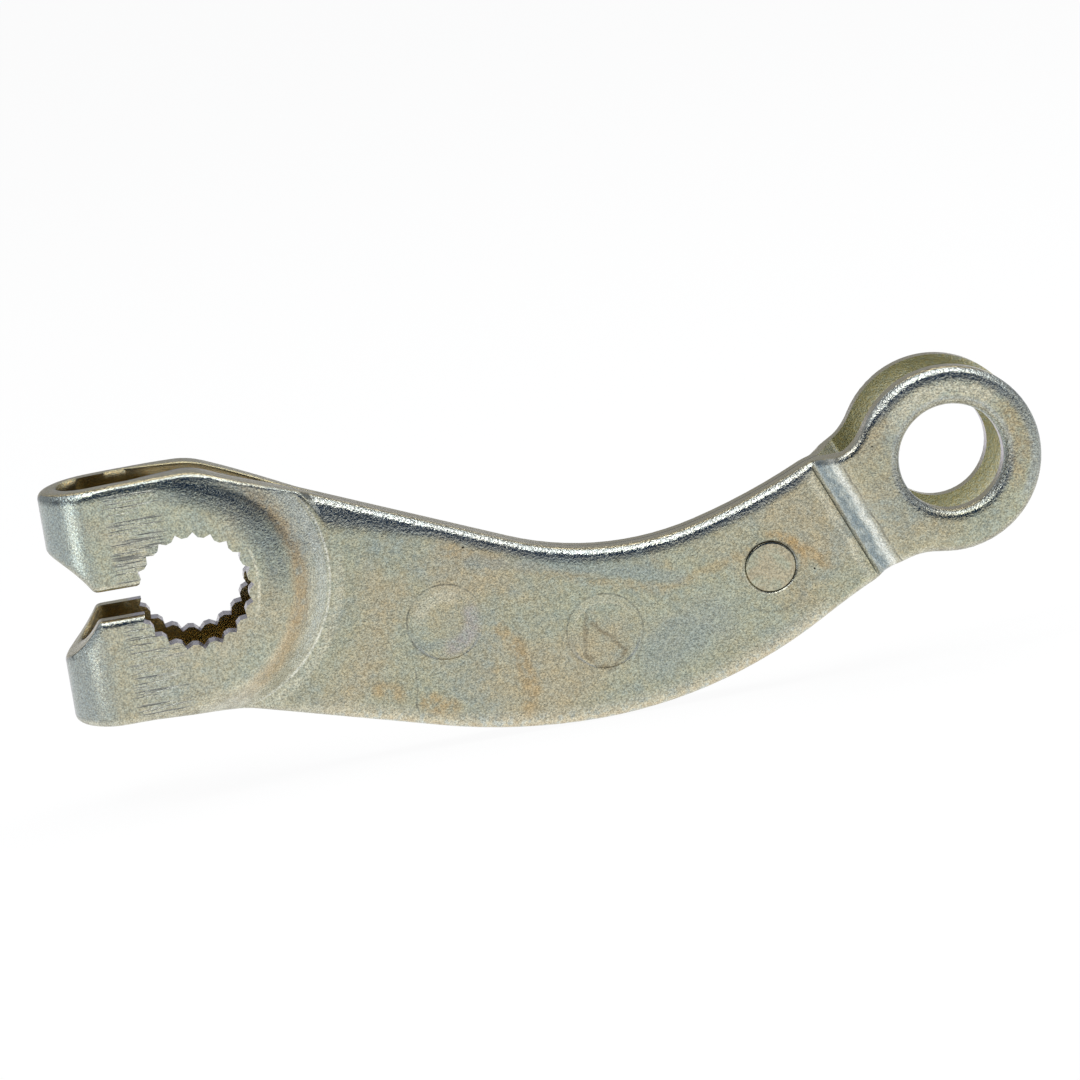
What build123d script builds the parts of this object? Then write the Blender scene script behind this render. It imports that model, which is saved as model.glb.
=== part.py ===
from build123d import *
from math import atan2, cos, radians, sin, tan
import os

os.makedirs("parts", exist_ok=True)

# Brake lever: one blank of sheet steel, folded double at the jaws and welded along the arm.
# X runs from the serrated shaft hole to the fork hole, Y along the shaft, Z across the arm.
# The origin is on the shaft axis, midway between the two leaves. All sizes in mm.

# Sheet, the room that the leaves keep between them at both ends, and the die roll of the edges
sheet = 2.5
inside_gap = 8.0
edge_roll = 1.0
half_inside = inside_gap / 2
half_outside = half_inside + sheet

# Shaft hole, serrated, and fork hole, plain
hole_spacing = 100.0
serration_count = 21
serration_root_radius = 7.70
serration_tip_radius = 7.05
serration_turn = -3.1
notch_overlap = 0.3
fork_hole_radius = 7.0

# Jaw slot from the shaft hole out to the lips, and the slant of each jaw beyond its lip
slot_width = 3.8
slot_middle = -0.1
slot_end = -4.5
lip_x = -12.6
lip_round = 1.0
slant_middle = (-15.3, 5.2)
slant_end_z = 7.75

# Fold that joins the leaves at the left end of both jaws
bend_line = -11.2
fold_straight = 0.6
fold_margin = 1.4
fold_join = bend_line + fold_straight
blank_left = bend_line - half_outside - fold_margin

# Drawn hub: a flat plateau on an oblique cone that runs down to the arm
# The plateau is smaller than the foot, leans toward the jaws, and both spread toward them
hub_foot_radius = 17.6
hub_narrowing = 2.6
hub_lean = 2.5
hub_spread = 15
hub_shoulder = 3.0
hub_foot_round = 0.9
plateau_radius = hub_foot_radius - hub_narrowing
hub_flare = 90 - hub_spread

# Joggle from the arm out to the fork ears, square to a line that rises at joggle_turn
joggle_turn = 23.4
joggle_slope = 55
joggle_back = 15.8
joggle_crease = 0.4
coined_line_radius = 0.4
coined_line_depth = 0.15
joggle_inner_bend = 0.8
joggle_start = hole_spacing * cos(radians(joggle_turn)) - joggle_back
joggle_run = half_inside / tan(radians(joggle_slope))

# Fork ears: rounded ends, centred a little off the hole
ear_radius = 12.3
ear_x = hole_spacing - 0.3
ear_z = -0.25
ear_start = 149.8
ear_stop = -98

# Upper edge of the blank, as x and z of its points from the jaw to the neck
crown_nose = (blank_left, 14.8)
crown_middle = (-8.5, 15.2)
crown_end = (0.3, 15.25)
shoulder_end = (4.1, 14.45)
flank_end = (41.6, -1.69)
waist_end = (hole_spacing - 33.8, -3.75)
rise_end = (hole_spacing - 19.0, 1.36)
upper_neck_1 = (hole_spacing - 16.0, 2.15)
upper_neck_2 = (hole_spacing - 13.4, 3.2)

# Lower edge of the blank, in the same order
keel_nose = (blank_left, -15.4)
keel_start = (-11.5, -16.0)
keel_arc = 47
chin_start = (-9.0, -16.0)
chin_end = (6.0, -18.0)
underside_end = (28.8, -24.45)
belly = (hole_spacing / 2, -27.4)
belly_end = (hole_spacing - 19.0, -19.3)
hip_end = (hole_spacing - 13.0, -16.15)
lower_neck_1 = (hole_spacing - 10.8, -15.05)
lower_neck_2 = (hole_spacing - 8.55, -13.0)
lower_neck_3 = (hole_spacing - 5.4, -12.1)

# Locating rivet near the fork, and the two spot welds between it and the hub
rivet_x = hole_spacing - 25.1
rivet_z = -11.1
rivet_radius = 3.4
rivet_edge_chamfer = 0.4
rivet_seat_chamfer = 0.15
hub_weld_x = 31.5
hub_weld_z = -10.8
fork_weld_x = (hub_weld_x + rivet_x) / 2 - 1.2
fork_weld_z = -15.7
dimple_radius = 5.0
dimple_floor_radius = 4.35
dimple_drift = 0.55
dimple_depth = 0.25
nugget_radius = 3.2

# Side outline of the folded blank, seen square to the leaves
slot_top = slot_middle + slot_width / 2
slot_low = slot_middle - slot_width / 2
with BuildSketch(Plane.XZ) as outline:
    with BuildLine():
        crown = ThreePointArc(crown_nose, crown_middle, crown_end)
        shoulder = TangentArc(crown @ 1, shoulder_end, tangent=crown % 1)
        flank = Line(shoulder @ 1, flank_end)
        waist = TangentArc(flank @ 1, waist_end, tangent=flank % 1)
        rise = TangentArc(waist @ 1, rise_end, tangent=waist % 1)
        ear = CenterArc((ear_x, ear_z), ear_radius, ear_start, ear_stop - ear_start)
        upper_neck = Spline(rise @ 1, upper_neck_1, upper_neck_2, ear @ 0,
                            tangents=[rise % 1, ear % 0])
        keel_round = RadiusArc(keel_nose, keel_start, -keel_arc)
        keel = Line(keel_round @ 1, chin_start)
        chin = TangentArc(keel @ 1, chin_end, tangent=(1, 0))
        underside = Line(chin @ 1, underside_end)
        belly_round = TangentArc(underside @ 1, belly, tangent=underside % 1)
        belly_rise = TangentArc(belly_round @ 1, belly_end, tangent=belly_round % 1)
        hip = TangentArc(belly_rise @ 1, hip_end, tangent=belly_rise % 1)
        lower_neck = Spline(hip @ 1, lower_neck_1, lower_neck_2, lower_neck_3, ear @ 1,
                            tangents=[hip % 1, -(ear % 1)])
        upper_jaw_end = Line(crown @ 0, (blank_left, slant_end_z))
        upper_slant = ThreePointArc(upper_jaw_end @ 1, slant_middle, (lip_x, slot_top))
        upper_lip = Line(upper_slant @ 1, (slot_end, slot_top))
        slot_round = RadiusArc(upper_lip @ 1, (slot_end, slot_low), slot_width / 2)
        lower_lip = Line(slot_round @ 1, (lip_x, slot_low))
        lower_slant = ThreePointArc(lower_lip @ 1, (slant_middle[0], -slant_middle[1]),
                                    (blank_left, -slant_end_z))
        lower_jaw_end = Line(lower_slant @ 1, keel_round @ 0)
    make_face()
    lip_corners = outline.vertices().filter_by(lambda v: abs(v.X - lip_x) < 0.001 * hole_spacing)
    fillet(lip_corners, lip_round)

# Field of sheet that the forms below are pressed from, larger than the blank all round
field_margin = 8.0
blank = outline.sketch.bounding_box()
field_left = blank.min.X - field_margin
field_right = blank.max.X + field_margin
field_half_height = -blank.min.Z + field_margin
field_middle = (field_left + field_right) / 2
joggle_end = field_right + field_half_height

# The joggle's own plane: its X runs along the rise, its Y out of the sheet
crease_dir = (sin(radians(joggle_turn)), 0, -cos(radians(joggle_turn)))
rise_dir = (cos(radians(joggle_turn)), 0, sin(radians(joggle_turn)))
joggle_plane = Plane(origin=(0, 0, 0), x_dir=rise_dir, z_dir=crease_dir)

# Outer form: the face of one leaf as the press leaves it
with BuildPart() as outer_form:
    with BuildSketch(Plane.XZ):
        with Locations((field_middle, 0)):
            Rectangle(field_right - field_left, 2 * field_half_height)
    extrude(amount=sheet)
    with BuildSketch(Plane.XZ.offset(sheet)):
        with BuildLine():
            foot = CenterArc((0, 0), hub_foot_radius, -hub_flare, 2 * hub_flare)
            foot_top = PolarLine(foot @ 1, 2 * hub_foot_radius, hub_flare + 90)
            foot_low = PolarLine(foot @ 0, 2 * hub_foot_radius, -hub_flare - 90)
            Line(foot_top @ 1, foot_low @ 1)
        make_face()
    with BuildSketch(Plane.XZ.offset(half_outside)):
        with BuildLine():
            rim = CenterArc((-hub_lean, 0), plateau_radius, -hub_flare, 2 * hub_flare)
            rim_top = PolarLine(rim @ 1, 2 * hub_foot_radius, hub_flare + 90)
            rim_low = PolarLine(rim @ 0, 2 * hub_foot_radius, -hub_flare - 90)
            Line(rim_top @ 1, rim_low @ 1)
        make_face()
    loft(ruled=True)
    # the foot and the rim of the hub, without their closing lines beyond the jaws
    foot_edges = outer_form.edges(Select.LAST).group_by(Axis.Y)[-1].sort_by(Axis.X)[1:]
    fillet(foot_edges, hub_foot_round)
    rim_edges = outer_form.edges().group_by(Axis.Y)[0].sort_by(Axis.X)[1:]
    fillet(rim_edges, hub_shoulder)
    with BuildSketch(joggle_plane) as joggle_profile:
        with BuildLine():
            Polyline((0, 0), (0, sheet), (joggle_start, sheet),
                     (joggle_start + joggle_run, half_outside), (joggle_end, half_outside),
                     (joggle_end, 0), close=True)
        make_face()
        crease = joggle_profile.vertices().sort_by_distance((joggle_start, sheet))[0]
        fillet(crease, joggle_crease)
        crown_of_joggle = joggle_profile.vertices().sort_by_distance(
            (joggle_start + joggle_run, half_outside))[0]
        fillet(crown_of_joggle, joggle_inner_bend + sheet)
    extrude(amount=2 * field_half_height, both=True)
    # at the jaws the face runs round the bend
    with BuildSketch(Plane.XY.offset(-field_half_height)):
        with Locations((bend_line, 0)):
            Circle(half_outside)
        with Locations(((bend_line + field_right) / 2, 0)):
            Rectangle(field_right - bend_line, 2 * half_outside)
    extrude(amount=2 * field_half_height, mode=Mode.INTERSECT)
    with BuildSketch(Plane.XZ):
        add(outline.sketch)
    extrude(amount=half_outside, mode=Mode.INTERSECT)

# A sloped wall of even thickness has its inner line nearer the hub axis by this much
side_inset = sheet * tan(atan2(half_inside, hub_narrowing) / 2)
front_inset = sheet * tan(atan2(half_inside, hub_narrowing + hub_lean) / 2)
cavity_shift = side_inset - front_inset
joggle_inset = sheet * tan(radians(joggle_slope / 2))

# Inner form: the hollow that the outer form keeps between one leaf and the middle plane
with BuildPart() as inner_form:
    with BuildSketch(Plane.XZ):
        with BuildLine():
            foot = CenterArc((cavity_shift, 0), hub_foot_radius - side_inset, -hub_flare, 2 * hub_flare)
            foot_top = PolarLine(foot @ 1, 2 * hub_foot_radius, hub_flare + 90)
            foot_low = PolarLine(foot @ 0, 2 * hub_foot_radius, -hub_flare - 90)
            Line(foot_top @ 1, foot_low @ 1)
        make_face()
    with BuildSketch(Plane.XZ.offset(half_inside)):
        with BuildLine():
            rim = CenterArc((cavity_shift - hub_lean, 0), plateau_radius - side_inset,
                            -hub_flare, 2 * hub_flare)
            rim_top = PolarLine(rim @ 1, 2 * hub_foot_radius, hub_flare + 90)
            rim_low = PolarLine(rim @ 0, 2 * hub_foot_radius, -hub_flare - 90)
            Line(rim_top @ 1, rim_low @ 1)
        make_face()
    loft(ruled=True)
    with BuildSketch(joggle_plane) as throat_profile:
        with BuildLine():
            Polyline((joggle_start + joggle_inset, 0),
                     (joggle_start + joggle_run + joggle_inset, half_inside),
                     (joggle_end, half_inside), (joggle_end, 0), close=True)
        make_face()
        throat_corner = throat_profile.vertices().sort_by_distance(
            (joggle_start + joggle_run + joggle_inset, half_inside))[0]
        fillet(throat_corner, joggle_inner_bend)
    extrude(amount=2 * field_half_height, both=True)
    with BuildSketch(Plane.XY.offset(-field_half_height)):
        with Locations((bend_line, 0)):
            Circle(half_inside)
        with Locations(((bend_line + field_right) / 2, 0)):
            Rectangle(field_right - bend_line, 2 * half_outside)
    extrude(amount=2 * field_half_height, mode=Mode.INTERSECT)

# Front half of the folded blank, with the die roll that the press leaves round its outer face
with BuildPart() as half_blank:
    add(outer_form.part)
    add(inner_form.part, mode=Mode.SUBTRACT)
    with Locations((hole_spacing, 0, 0)):
        Cylinder(fork_hole_radius, 4 * half_outside, rotation=(90, 0, 0), mode=Mode.SUBTRACT)
    outer_faces = half_blank.faces().filter_by(lambda f: f.normal_at().Y < -0.3)
    cut_faces = half_blank.faces().filter_by(lambda f: abs(f.normal_at().Y) < 0.02)
    roll_edges = ShapeList([e for e in outer_faces.edges() if e in cut_faces.edges()])
    fillet(roll_edges, edge_roll)
    # the punch leaves a fine coined line along the foot of the joggle
    with Locations(joggle_plane):
        with Locations((joggle_start, sheet - coined_line_depth + coined_line_radius, 0)):
            Cylinder(coined_line_radius, 4 * field_half_height, mode=Mode.SUBTRACT)

# Serrated shaft hole: a round hole at the tooth tips, with V notches of 90 degrees to the root
notch_depth = serration_root_radius - serration_tip_radius
notch_base = serration_tip_radius - notch_overlap
with BuildSketch(Plane.XZ) as serrated_hole:
    Circle(serration_tip_radius)
    with PolarLocations(0, serration_count, start_angle=serration_turn):
        Polygon((serration_root_radius, 0), (notch_base, notch_depth + notch_overlap),
                (notch_base, -notch_depth - notch_overlap), align=None)

leaf_reach = field_right - fold_join
fold_reach = fold_join - field_left

# Front leaf: the near sheet, from the bend line to its fork ear
with BuildPart() as front_leaf:
    add(half_blank.part)
    with Locations((fold_join, 0, 0)):
        Box(leaf_reach, 4 * half_outside, 2 * field_half_height,
            align=(Align.MIN, Align.CENTER, Align.CENTER), mode=Mode.INTERSECT)
    with BuildSketch(Plane.XZ):
        add(serrated_hole.sketch)
    extrude(amount=half_outside, mode=Mode.SUBTRACT)
    with Locations((rivet_x, -sheet / 2, rivet_z)):
        Cylinder(rivet_radius, sheet, rotation=(90, 0, 0), mode=Mode.SUBTRACT)
    seat_edge = front_leaf.edges().filter_by(GeomType.CIRCLE).sort_by_distance(
        (rivet_x, -sheet, rivet_z - rivet_radius))[0]
    chamfer(seat_edge, rivet_seat_chamfer)
    for weld_x, weld_z in ((hub_weld_x, hub_weld_z), (fork_weld_x, fork_weld_z)):
        with BuildSketch(Plane.XZ.offset(sheet)):
            with Locations((weld_x, weld_z)):
                Circle(dimple_radius)
        with BuildSketch(Plane.XZ.offset(sheet - dimple_depth)):
            with Locations((weld_x, weld_z - dimple_drift)):
                Circle(dimple_floor_radius)
        loft(mode=Mode.SUBTRACT)
        with Locations((weld_x, -sheet / 2, weld_z - dimple_drift)):
            Cylinder(nugget_radius, sheet, rotation=(90, 0, 0), mode=Mode.SUBTRACT)
front_leaf.part.label = "front_leaf"

# Back leaf: the far sheet, the mirror image of the front leaf
with BuildPart() as back_leaf:
    add(mirror(front_leaf.part, about=Plane.XZ))
back_leaf.part.label = "back_leaf"

# Upper jaw fold: where the blank turns through 180 degrees at the end of the upper jaw
with BuildPart() as upper_jaw_fold:
    add(half_blank.part)
    add(mirror(half_blank.part, about=Plane.XZ))
    with Locations((fold_join, 0, 0)):
        Box(fold_reach, 4 * half_outside, field_half_height,
            align=(Align.MAX, Align.CENTER, Align.MIN), mode=Mode.INTERSECT)
upper_jaw_fold.part.label = "upper_jaw_fold"

# Lower jaw fold: the same turn at the end of the lower jaw
with BuildPart() as lower_jaw_fold:
    add(half_blank.part)
    add(mirror(half_blank.part, about=Plane.XZ))
    with Locations((fold_join, 0, 0)):
        Box(fold_reach, 4 * half_outside, field_half_height,
            align=(Align.MAX, Align.CENTER, Align.MAX), mode=Mode.INTERSECT)
lower_jaw_fold.part.label = "lower_jaw_fold"

# Locating rivet: a plain pin through both leaves, headed flush, its rim broken on both faces
with BuildPart() as locating_rivet:
    with Locations((rivet_x, 0, rivet_z)):
        Cylinder(rivet_radius, 2 * sheet, rotation=(90, 0, 0))
    chamfer(locating_rivet.edges().filter_by(GeomType.CIRCLE), rivet_edge_chamfer)
locating_rivet.part.label = "locating_rivet"

# Spot weld nearer the hub: the slug that the electrodes fused between the two dimple floors
with BuildPart() as spot_weld_hub_end:
    with Locations((hub_weld_x, 0, hub_weld_z - dimple_drift)):
        Cylinder(nugget_radius, 2 * (sheet - dimple_depth), rotation=(90, 0, 0))
spot_weld_hub_end.part.label = "spot_weld_hub_end"

# Spot weld nearer the fork
with BuildPart() as spot_weld_fork_end:
    with Locations((fork_weld_x, 0, fork_weld_z - dimple_drift)):
        Cylinder(nugget_radius, 2 * (sheet - dimple_depth), rotation=(90, 0, 0))
spot_weld_fork_end.part.label = "spot_weld_fork_end"

# One file for each piece
pieces = (front_leaf, back_leaf, upper_jaw_fold, lower_jaw_fold, locating_rivet,
          spot_weld_hub_end, spot_weld_fork_end)
for piece in pieces:
    export_step(piece.part, "parts/" + piece.part.label + ".step")
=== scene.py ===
import bpy
import math
from mathutils import Matrix, Vector


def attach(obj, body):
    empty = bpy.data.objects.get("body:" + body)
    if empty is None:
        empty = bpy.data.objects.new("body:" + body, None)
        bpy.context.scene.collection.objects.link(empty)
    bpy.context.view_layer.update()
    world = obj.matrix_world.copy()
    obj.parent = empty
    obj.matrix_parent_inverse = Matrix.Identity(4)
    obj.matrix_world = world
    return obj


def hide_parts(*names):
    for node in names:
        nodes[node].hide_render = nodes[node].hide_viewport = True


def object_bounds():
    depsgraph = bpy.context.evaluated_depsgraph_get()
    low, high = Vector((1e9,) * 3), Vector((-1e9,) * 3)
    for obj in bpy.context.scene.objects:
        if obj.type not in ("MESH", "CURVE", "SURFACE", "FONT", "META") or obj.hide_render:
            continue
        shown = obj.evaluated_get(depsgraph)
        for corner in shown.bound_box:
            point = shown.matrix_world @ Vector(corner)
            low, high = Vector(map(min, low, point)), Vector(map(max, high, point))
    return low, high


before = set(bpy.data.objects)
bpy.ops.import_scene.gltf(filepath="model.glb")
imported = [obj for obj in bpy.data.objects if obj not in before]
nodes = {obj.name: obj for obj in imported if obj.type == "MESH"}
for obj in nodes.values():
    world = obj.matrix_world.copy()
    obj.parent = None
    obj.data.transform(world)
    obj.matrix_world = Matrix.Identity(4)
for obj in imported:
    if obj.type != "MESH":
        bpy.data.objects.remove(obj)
cad_box = [list(corner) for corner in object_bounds()]


# Folded blank: two leaves and two jaw folds of cold-rolled steel sheet, 2.5 mm thick, blanked,
# drawn and folded, then barrel zinc plated and passivated. The thin film turns the bright zinc olive
# with tan and blue patches, and each rolled edge shows a white line with a navy one beside it.

def linear(hex_colour):
    """sRGB hex to a linear colour for a shader socket."""
    parts = [int(hex_colour[i:i + 2], 16) / 255 for i in (1, 3, 5)]
    return [p / 12.92 if p <= 0.04045 else ((p + 0.055) / 1.055) ** 2.4 for p in parts] + [1.0]


def add_node(tree, kind, inputs=None, **settings):
    """Adds one shader node, sets its options, and fills its inputs with values or links."""
    node = tree.nodes.new(kind)
    for name, value in settings.items():
        setattr(node, name, value)
    for name, value in (inputs or {}).items():
        if isinstance(value, bpy.types.Node):
            value = value.outputs[0]
        if isinstance(value, bpy.types.NodeSocket):
            tree.links.new(value, node.inputs[name])
        else:
            node.inputs[name].default_value = value
    return node


# several of these colours also paint light and shade where they are used below: the cream and the white
# paint highlights, the dark, the lilac and slope_shadow paint shade, and the roll blue and the pale
# blue paint reflections and sheen
film_olive = linear("#A7A996")
film_tan = linear("#AEA68F")
film_blue = linear("#99A29D")
roll_blue_and_reflection = linear("#A2A7A5")
stain_orange = linear("#B09468")
cream_and_painted_highlight = linear("#D2CFBC")
pale_blue_and_sheen = linear("#B9C0BD")
cut_edge_and_shade_lilac = linear("#A8A2AC")
wall_olive = linear("#A89F80")
inside_olive = linear("#B0A382")
throat_olive = linear("#CBC9B4")
loop_brown = linear("#7E7562")
crest_tan = linear("#B5A67E")
scratch_and_shade_dark = linear("#5B5C58")
slope_shadow = linear("#7A878D")
streak_blue = linear("#8D9B9D")
white_speck_and_highlight = linear("#E4E5DD")
pit_black = linear("#2A2722")
speck_warm = linear("#CBBDA2")
speck_cool = linear("#ABBCCC")

# lengths in the materials are in mm, and a mark's place is its X and Z
mm_per_metre = 1000.0

zinc_sheet = bpy.data.materials.new("iridescent_zinc_passivated_steel")
zinc_sheet.use_nodes = True
tree = zinc_sheet.node_tree
tree.nodes.clear()
place = add_node(tree, "ShaderNodeTexCoord")
mm = add_node(tree, "ShaderNodeVectorMath", {0: place.outputs["Object"], "Scale": mm_per_metre},
              operation="SCALE")
flat = add_node(tree, "ShaderNodeVectorMath", {0: mm, 1: (1.0, 0.0, 1.0)}, operation="MULTIPLY")
at = add_node(tree, "ShaderNodeSeparateXYZ", {"Vector": mm})
facing = add_node(tree, "ShaderNodeNewGeometry")
normal = add_node(tree, "ShaderNodeSeparateXYZ", {"Vector": facing.outputs["Normal"]})
front = add_node(tree, "ShaderNodeMath", {0: at.outputs["Y"], 1: 0.0}, operation="LESS_THAN")

# on the hub the die roll is drawn a little wider than its solid, but not at the teeth or at the
# bend line, where the pieces meet flush
hub_roll = 1.4
teeth_end = 8.6
bend_line = -10.6
hub_end = 16.0
side = add_node(tree, "ShaderNodeMath", {0: at.outputs["Y"]}, operation="SIGN")
outward = add_node(tree, "ShaderNodeMath", {0: normal.outputs["Y"], 1: side}, operation="MULTIPLY")
from_shaft = add_node(tree, "ShaderNodeVectorMath", {0: flat}, operation="LENGTH")
from_bend = add_node(tree, "ShaderNodeMath",
                     {0: at.outputs["X"], 1: bend_line}, operation="SUBTRACT")
from_bend = add_node(tree, "ShaderNodeMath", {0: from_bend}, operation="ABSOLUTE")
wide = add_node(tree, "ShaderNodeMapRange", {"Value": from_shaft.outputs["Value"],
                                             "From Min": teeth_end, "From Max": teeth_end + 1.0})
for value, none_at, full_at in ((from_bend, 1.5, 2.2), (at.outputs["X"], hub_end + 3.0, hub_end)):
    clear = add_node(tree, "ShaderNodeMapRange",
                     {"Value": value, "From Min": none_at, "From Max": full_at})
    wide = add_node(tree, "ShaderNodeMath", {0: wide, 1: clear}, operation="MULTIPLY")
rolled = add_node(tree, "ShaderNodeBevel", {"Radius": hub_roll / mm_per_metre}, samples=4)
rolled = add_node(tree, "ShaderNodeMix", {0: wide, 4: facing.outputs["Normal"], 5: rolled},
                  data_type="VECTOR")
rolled = rolled.outputs[1]
roll = add_node(tree, "ShaderNodeSeparateXYZ", {"Vector": rolled})

# depth inside the arm's two edges, a straight run and two arcs each, then inside the ear's rim and
# outside the fork hole's. Flecks keep them all from being even.
unevenness = 0.38
fork_hole, fork_hole_radius = (100.0, 0.0, 0.0), 7.0
ear_centre, ear_radius = (99.7, 0.0, -0.25), 12.3
neck_direction = (-0.966, 0.0, -0.259)
hub_foot_radius = 17.9
shift = add_node(tree, "ShaderNodeTexNoise",
                 {"Vector": mm, "Scale": 1 / 0.32, "Detail": 2.0, "Roughness": 0.6})
shift = add_node(tree, "ShaderNodeMath", {0: shift, 1: 0.5}, operation="SUBTRACT")
shift = add_node(tree, "ShaderNodeMath", {0: shift, 1: unevenness}, operation="MULTIPLY")
below = add_node(tree, "ShaderNodeVectorMath", {0: flat, 1: (-0.3953, 0.0, -0.9185)},
                 operation="DOT_PRODUCT")
below = add_node(tree, "ShaderNodeMath", {0: below.outputs["Value"], 1: 14.89}, operation="ADD")
above = add_node(tree, "ShaderNodeVectorMath", {0: flat, 1: (0.2722, 0.0, 0.9622)},
                 operation="DOT_PRODUCT")
above = add_node(tree, "ShaderNodeMath", {0: above.outputs["Value"], 1: 15.687}, operation="ADD")
for from_x, top_centre, top_radius, low_from_x, low_centre, low_radius in (
        (41.6, (56.98, 0.0, 34.04), 38.90, 28.8, (50.065, 0.0, 50.720), 78.12),
        (66.2, (46.24, 0.0, 78.05), 84.20, 50.0, (50.053, 0.0, 35.769), 63.17)):
    away = add_node(tree, "ShaderNodeVectorMath", {0: flat, 1: top_centre}, operation="DISTANCE")
    away = add_node(tree, "ShaderNodeMath", {0: away.outputs["Value"], 1: top_radius},
                    operation="SUBTRACT")
    past = add_node(tree, "ShaderNodeMath",
                    {0: at.outputs["X"], 1: from_x}, operation="GREATER_THAN")
    below = add_node(tree, "ShaderNodeMix", {0: past, 2: below, 3: away})
    away = add_node(tree, "ShaderNodeVectorMath", {0: flat, 1: low_centre}, operation="DISTANCE")
    away = add_node(tree, "ShaderNodeMath", {0: low_radius, 1: away.outputs["Value"]},
                    operation="SUBTRACT")
    past = add_node(tree, "ShaderNodeMath", {0: at.outputs["X"], 1: low_from_x},
                    operation="GREATER_THAN")
    above = add_node(tree, "ShaderNodeMix", {0: past, 2: above, 3: away})
out_from_ear = add_node(tree, "ShaderNodeVectorMath",
                        {0: flat, 1: ear_centre}, operation="SUBTRACT")
on_ear = add_node(tree, "ShaderNodeVectorMath", {0: out_from_ear}, operation="LENGTH")
on_ear = add_node(tree, "ShaderNodeMath", {0: ear_radius, 1: on_ear.outputs["Value"]},
                  operation="SUBTRACT")
out_from_ear = add_node(tree, "ShaderNodeVectorMath", {0: out_from_ear}, operation="NORMALIZE")
neck = add_node(tree, "ShaderNodeVectorMath", {0: out_from_ear, 1: neck_direction},
                operation="DOT_PRODUCT")
off_neck = add_node(tree, "ShaderNodeMapRange", {"Value": neck.outputs["Value"], "From Min": 0.82,
                                                 "From Max": 0.45}, interpolation_type="SMOOTHSTEP")
on_arm = add_node(tree, "ShaderNodeMapRange", {"Value": at.outputs["X"], "From Min": 84.0,
                                               "From Max": 79.5}, interpolation_type="SMOOTHSTEP")
past_hub = add_node(tree, "ShaderNodeMapRange",
                    {"Value": from_shaft.outputs["Value"], "From Min": hub_foot_radius,
                     "From Max": hub_foot_radius + 1.1}, interpolation_type="SMOOTHSTEP")

# the die drew the edges over far wider than their solid's roll. Each swell is 1 at its edge and 0
# where it runs out, this far in, and it keeps to the outer faces.
swell_at_hub, swell_on_arm, swell_on_ear = 4.4, 2.3, 2.3
crown_height, crown_swell = 15.2, 1.8
hole_swell = 1.7
shoulder_centre, shoulder_start, shoulder_stop = (-2.5, 0.0, 0.0), 10.6, 14.6
outer = add_node(tree, "ShaderNodeMath", {0: outward, 1: 0.1}, operation="GREATER_THAN")
swell_width = add_node(tree, "ShaderNodeMapRange",
                       {"Value": at.outputs["X"], "From Min": 19.0, "From Max": 32.0,
                        "To Min": swell_at_hub, "To Max": swell_on_arm})
uneven = add_node(tree, "ShaderNodeMath", {0: below, 1: shift}, operation="ADD")
swell = add_node(tree, "ShaderNodeMath", {0: swell_width, 1: uneven}, operation="SUBTRACT")
swell = add_node(tree, "ShaderNodeMath",
                 {0: swell, 1: swell_width}, operation="DIVIDE", use_clamp=True)
for mask in (past_hub, on_arm):
    swell = add_node(tree, "ShaderNodeMath", {0: swell, 1: mask}, operation="MULTIPLY")
ear_swell = add_node(tree, "ShaderNodeMath", {0: on_ear, 1: shift}, operation="ADD")
ear_swell = add_node(tree, "ShaderNodeMapRange", {"Value": ear_swell, "From Min": swell_on_ear,
                                                  "From Max": 0.0})
ear_swell = add_node(tree, "ShaderNodeMath", {0: ear_swell, 1: off_neck}, operation="MULTIPLY")
swell = add_node(tree, "ShaderNodeMath", {0: swell, 1: ear_swell}, operation="MAXIMUM")
crown = add_node(tree, "ShaderNodeMath",
                 {0: crown_height, 1: at.outputs["Z"]}, operation="SUBTRACT")
crown = add_node(tree, "ShaderNodeMath", {0: crown, 1: below}, operation="MINIMUM")
crown = add_node(tree, "ShaderNodeMath", {0: crown, 1: shift}, operation="ADD")
crown = add_node(tree, "ShaderNodeMapRange", {"Value": crown, "From Min": crown_swell,
                                              "From Max": 0.0})
crown_end = add_node(tree, "ShaderNodeMapRange", {"Value": at.outputs["X"], "From Min": 8.0,
                                                  "From Max": 2.0}, interpolation_type="SMOOTHSTEP")
crown = add_node(tree, "ShaderNodeMath", {0: crown, 1: crown_end}, operation="MULTIPLY")
from_hole = add_node(tree, "ShaderNodeVectorMath", {0: flat, 1: fork_hole}, operation="DISTANCE")
from_hole = add_node(tree, "ShaderNodeMath", {0: from_hole.outputs["Value"], 1: fork_hole_radius},
                     operation="SUBTRACT")
from_hole = add_node(tree, "ShaderNodeMath", {0: from_hole, 1: shift}, operation="ADD")
from_hole = add_node(tree, "ShaderNodeMapRange", {"Value": from_hole, "From Min": hole_swell,
                                                  "From Max": 0.0})
shoulder = add_node(tree, "ShaderNodeVectorMath",
                    {0: flat, 1: shoulder_centre}, operation="DISTANCE")
shoulder = add_node(tree, "ShaderNodeMath", {0: shoulder.outputs["Value"], 1: shift},
                    operation="SUBTRACT")
shoulder = add_node(tree, "ShaderNodeMapRange", {"Value": shoulder, "From Min": shoulder_start,
                                                 "From Max": shoulder_stop})
shoulder_end = add_node(tree, "ShaderNodeMapRange", {"Value": at.outputs["X"], "From Min": -6.0,
                                                     "From Max": 3.0}, interpolation_type="SMOOTHSTEP")
shoulder = add_node(tree, "ShaderNodeMath", {0: shoulder, 1: shoulder_end}, operation="MULTIPLY")
swell, crown, from_hole, shoulder = (
    add_node(tree, "ShaderNodeMath", {0: amount, 1: outer}, operation="MULTIPLY")
    for amount in (swell, crown, from_hole, shoulder))

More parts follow.
